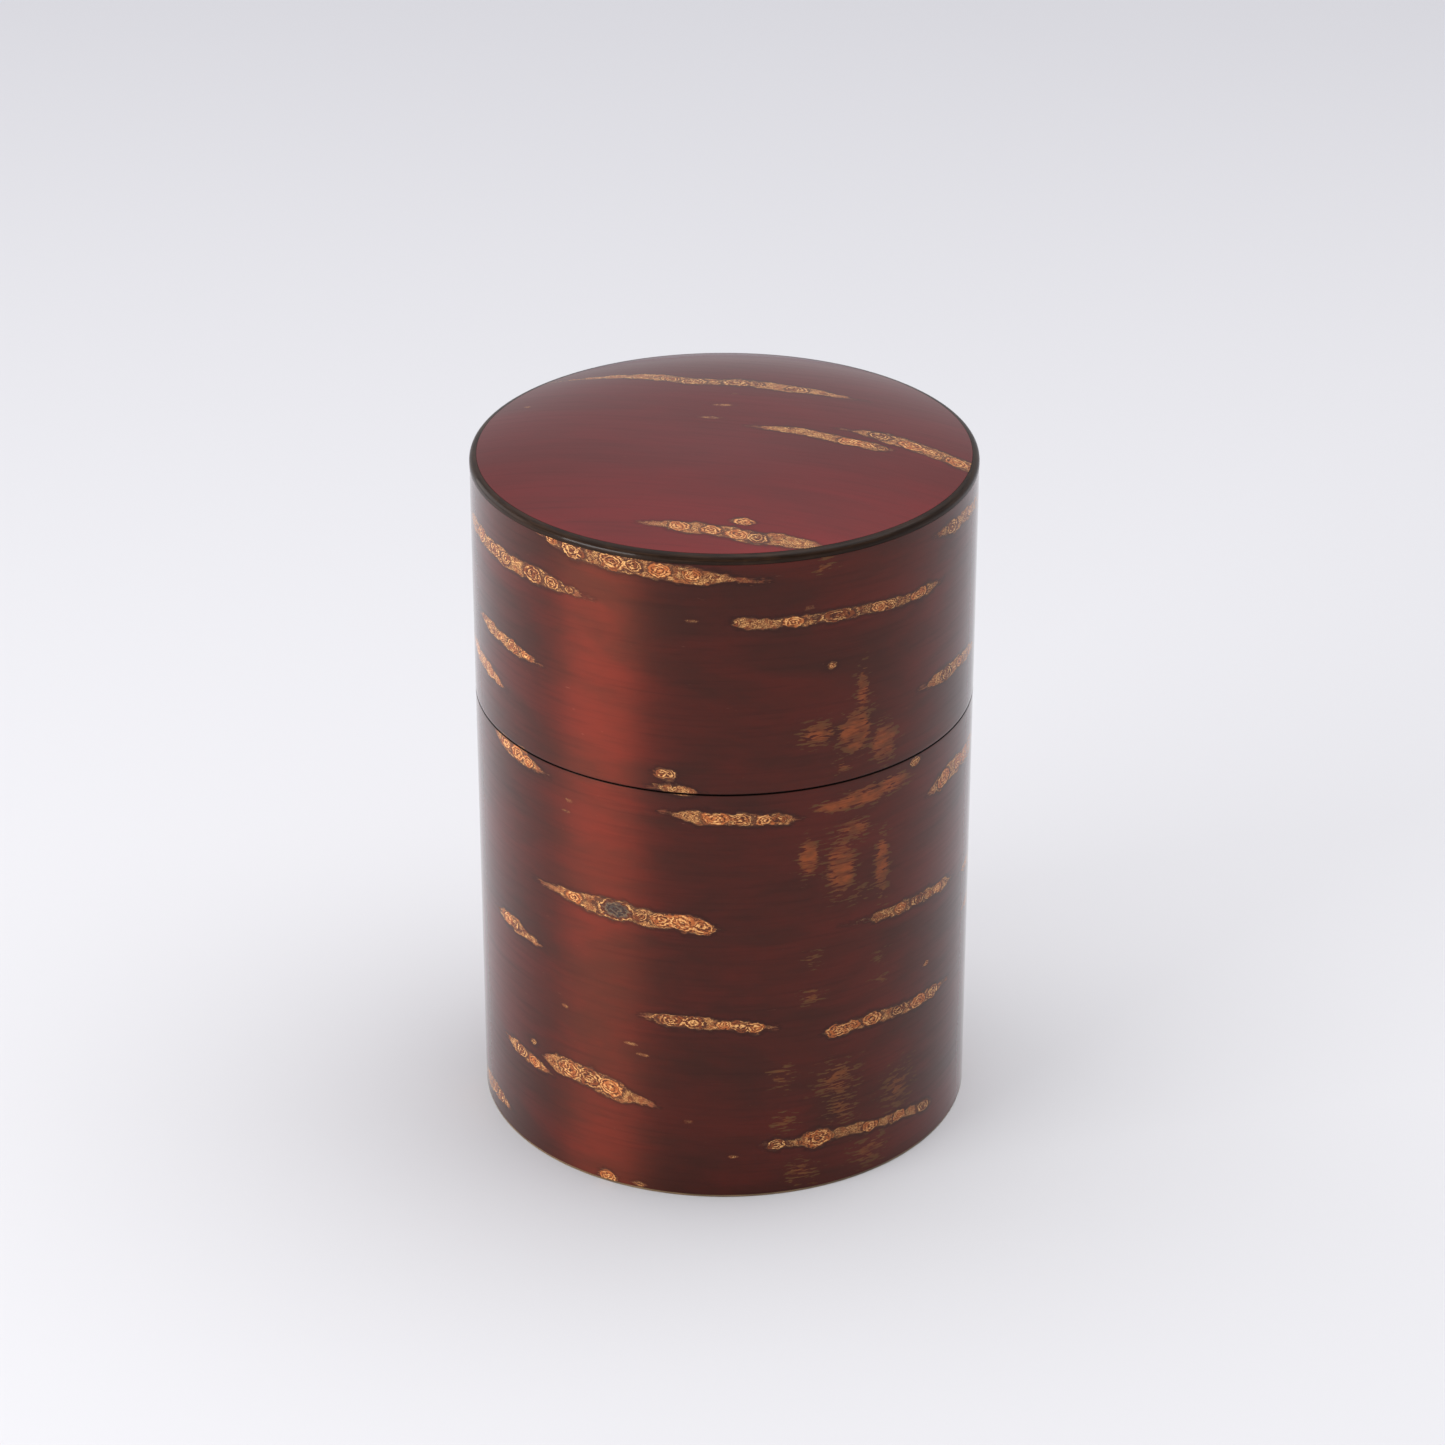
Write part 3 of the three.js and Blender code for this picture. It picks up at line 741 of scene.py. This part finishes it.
top_finish = bark(
    "polished_top_bark", 1, top_tilt, (0.155, 0.0075, 0.008), (0.122, 0.0085, 0.008),
    IOR=1.2, Specular_Tint=(0.75, 0.75, 0.75, 1.0),
    Coat_Weight=1.0, Coat_IOR=1.275, Coat_Roughness=0.06,
)
dome_flatness = 3.2
top_low, top_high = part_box("lid_top_bark")
rim_low, rim_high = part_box("lid_rim_strip")
lid_radius = rim_high.x
crown = top_high.z
top_bark = 0.4 * MM


def dome(radius, rise):
    return crown - rise * (radius / lid_radius) ** dome_flatness


# The rise that brings the underside of the bark's edge down to the lowest point of its node.
edge_share = (top_high.x / lid_radius) ** dome_flatness
dome_rise = (crown - top_bark - top_low.z) / edge_share
dome_rings, rings_per_rib = 66, 6
radii = [top_high.x * number / dome_rings for number in range(dome_rings + 1)]
under = [(radius, dome(radius, dome_rise) - top_bark) for radius in radii[::rings_per_rib]]
over = [(radius, dome(radius, dome_rise)) for radius in reversed(radii)]
lid_top = turned("lid_top_disc", under + over, finest_steps, open_ends=True)
mark_bark(lid_top, top_streaks, [], laid_flat, 1.0)
fit(lid_top, "outer_lid", "lid_top_bark", top_finish)

# ---- Rim strip ---------------------------------------------------------------------------------
# A corner strip of dark bark is let into the edge between the dome and the wall, and its corner is
# rounded and polished almost black.

rim_finish = edge_bark(
    "rim_strip_bark", (0.014, 0.007, 0.004), 1.15, 0.05,
    Coat_Weight=0.35, Coat_IOR=1.25, Coat_Roughness=0.05,
)
rim_inner = top_high.x + glue
rim_outline = [
    (rim_inner, rim_low.z),
    (lid_radius, rim_low.z),
    (lid_radius, dome(lid_radius, dome_rise) + 0.05 * MM),
    (rim_inner, dome(rim_inner, dome_rise)),
]
rim = turned("lid_rim_edge_strip", rim_outline, 384, [(2, 0.75 * MM, 6)])
fit(rim, "outer_lid", "lid_rim_strip", rim_finish)

# ---- Inner lid ---------------------------------------------------------------------------------
# A plug of two glued boards that closes the neck: a step that rests on the neck's rim and one that
# goes down into it, banded and faced with bark.

plug_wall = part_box("plug_board")[1].x + glue
plug_band = ring(
    "plug_edge_band", "inner_lid", "plug_bark_band", satin_finish, plug_wall,
    steps=strip_steps, cuts=[(OUTSIDE, 8)],
)
mark_bark(plug_band, grown_streaks(53, 2, 95.0, 101.0, -180.0, 180.0), [], unrolled, degree, girth)
flange_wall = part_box("flange_board")[1].x + glue
ring(
    "flange_edge_band", "inner_lid", "flange_edge_strip", strip_bark, flange_wall,
    steps=strip_steps, rounded=[(1, 0.15 * MM, 3)],
)
flange_low, flange_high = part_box("flange_top_bark")
socket_radius = 2.55 * MM
flange_outline = [
    (socket_radius, flange_low.z),
    (flange_high.x, flange_low.z),
    (flange_high.x, flange_high.z),
    (socket_radius, flange_high.z),
]
flange_corner = [(2, 0.2 * MM, 3)]
flange_top = turned("flange_top_disc", flange_outline, tube_steps, flange_corner, [(OVER, 50)])
mark_bark(flange_top, flat_streaks(61, 6, flange_high.x / MM), [], laid_flat, 1.0)
flange_finish = bark(
    "flange_top_bark", 1, 0.0, light_red, light_brown,
    IOR=1.3, Coat_Weight=0.8, Coat_IOR=1.3, Coat_Roughness=0.12,
)
fit(flange_top, "inner_lid", "flange_top_bark", flange_finish)

# ---- Knob --------------------------------------------------------------------------------------
# Scraps of bark are stacked and glued into a block, and the knob is turned from it with its tenon,
# so fine level layers show all round it.

knob_finish = Finish("stacked_bark", IOR=1.45, Coat_Weight=0.7, Coat_Roughness=0.1)
knob_place = knob_finish.place()
layers = knob_finish.cloud(knob_finish.drawn(knob_place, (25.0, 25.0, 2600.0)), 1.0, 2.0, 0.6)
figure = knob_finish.cloud(knob_finish.drawn(knob_place, (220.0, 220.0, 420.0)), 1.0, 3.0, 0.6)
knob_colour = knob_finish.blend(layers.rise(0.35, 0.65), (0.035, 0.012, 0.008), (0.19, 0.06, 0.028))
knob_colour = knob_finish.blend(figure.rise(0.5, 0.8) * 0.4, knob_colour, (0.30, 0.12, 0.05))
knob_finish.set("Base Color", knob_colour)
knob_finish.set("Roughness", 0.25 + layers * 0.2)
knob_finish.relief(layers, 0.03 * MM)
knob_low, knob_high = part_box("inner_lid_knob")
knob_radius = knob_high.x
knob_foot, knob_grip = 6.5 * MM, 5.5 * MM
knob_bottom = flange_high.z + glue
waist = knob_bottom + 3.6 * MM
tenon = socket_radius - glue
knob_outline = [
    (0.0, knob_low.z),
    (tenon, knob_low.z),
    (tenon, knob_bottom),
    (knob_foot, knob_bottom),
    (knob_grip, waist),
    (knob_radius, waist + 0.6 * MM),
    (knob_radius, knob_high.z),
    (0.0, knob_high.z),
]
knob_rounding = [(3, 0.3 * MM, 3), (4, 0.8 * MM, 4), (5, 0.9 * MM, 5), (6, 2.2 * MM, 8)]
knob = turned("inner_lid_knob_turned", knob_outline, 96, knob_rounding, open_ends=True)
fit(knob, "inner_lid", "inner_lid_knob", knob_finish)

# ---- Floor, light and camera -------------------------------------------------------------------
# A pale paper floor under a wide, even sky of white cloth that is darker on the camera's side, a
# tall soft box to the left, and a long lens that looks down on the caddy.

floor_maker = bmesh.new()
bmesh.ops.create_circle(floor_maker, cap_ends=True, segments=96, radius=6.0)
paper_mesh = bpy.data.meshes.new("paper_floor")
floor_maker.to_mesh(paper_mesh)
floor_maker.free()
paper = bpy.data.objects.new("paper_floor", paper_mesh)
bpy.context.scene.collection.objects.link(paper)
paper_finish = Finish("pale_paper", Roughness=0.9, Specular_IOR_Level=0.1)
paper_place = paper_finish.place()
# Painted shade: the paper's colour darkens towards the back, standing in for the dimmer light far
# from the caddy.
far_floor_shade = paper_finish.add("SeparateXYZ", {}, {0: paper_place}).output("Y").rise(-0.1, 0.95)
tooth = paper_finish.cloud(paper_place, 2.0, 2.0) * 0.1
paper_colour_and_shade = paper_finish.blend(far_floor_shade + tooth, (0.685, 0.685, 0.70), (0.51, 0.51, 0.535))
paper_finish.set("Base Color", paper_colour_and_shade)
paper_finish.coat(paper)


def soft_box(name, place, aim, width, height, power):
    light = bpy.data.lights.new(name, "AREA")
    light.shape = "RECTANGLE"
    light.size = width
    light.size_y = height
    light.energy = power
    holder = bpy.data.objects.new(name, light)
    holder.location = place
    holder.rotation_euler = (Vector(aim) - Vector(place)).to_track_quat("-Z", "Y").to_euler()
    bpy.context.scene.collection.objects.link(holder)


soft_box("tall_box_left", (-0.82, -0.58, 0.17), (0.0, 0.0, 0.1), 0.62, 0.32, 9.5)
soft_box("low_box_far_left", (-1.05, 0.5, 0.3), (0.0, 0.0, 0.08), 0.9, 0.55, 2.6)
soft_box("high_box_right", (0.6, 0.1, 1.4), (0.1, -0.05, 0.0), 1.2, 1.2, 6.0)

world = bpy.data.worlds.new("cloth_sky")
world.use_nodes = True
sky = world.node_tree
direction = sky.nodes.new("ShaderNodeTexCoord")
parts = sky.nodes.new("ShaderNodeSeparateXYZ")
sky.links.new(direction.outputs["Generated"], parts.inputs[0])
for part, name in (("Y", "towards_back"), ("Z", "upwards")):
    slope = sky.nodes.new("ShaderNodeMapRange")
    slope.name = name
    slope.interpolation_type = "SMOOTHSTEP"
    sky.links.new(parts.outputs[part], slope.inputs["Value"])
levels = {
    "towards_back": (("From Min", -0.9), ("From Max", 0.2), ("To Min", 0.33), ("To Max", 1.0)),
    "upwards": (("From Min", 0.42), ("From Max", 1.0), ("To Min", 0.64), ("To Max", 1.85)),
}
for name, sockets in levels.items():
    for socket, value in sockets:
        sky.nodes[name].inputs[socket].default_value = value
strength = sky.nodes.new("ShaderNodeMath")
strength.operation = "MULTIPLY"
sky.links.new(sky.nodes["towards_back"].outputs[0], strength.inputs[0])
sky.links.new(sky.nodes["upwards"].outputs[0], strength.inputs[1])
background = sky.nodes["Background"]
background.inputs["Color"].default_value = (0.975, 0.97, 1.0, 1.0)
sky.links.new(strength.outputs[0], background.inputs["Strength"])
bpy.context.scene.world = world
bpy.context.scene.view_settings.view_transform = "Standard"

camera = bpy.data.cameras.new("camera")
camera.sensor_width = 36.0
camera.lens = 109.05
camera.shift_x = -0.0013
camera.clip_start = 0.05
camera.clip_end = 20.0
look_down = math.radians(27.3)
away = 0.7261
aim_height = 0.06675
camera_holder = bpy.data.objects.new("camera", camera)
camera_holder.location = (0.0, -away * math.cos(look_down), aim_height + away * math.sin(look_down))
camera_holder.rotation_euler = (math.radians(90.0) - look_down, 0.0, 0.0)
bpy.context.scene.collection.objects.link(camera_holder)
bpy.context.scene.camera = camera_holder
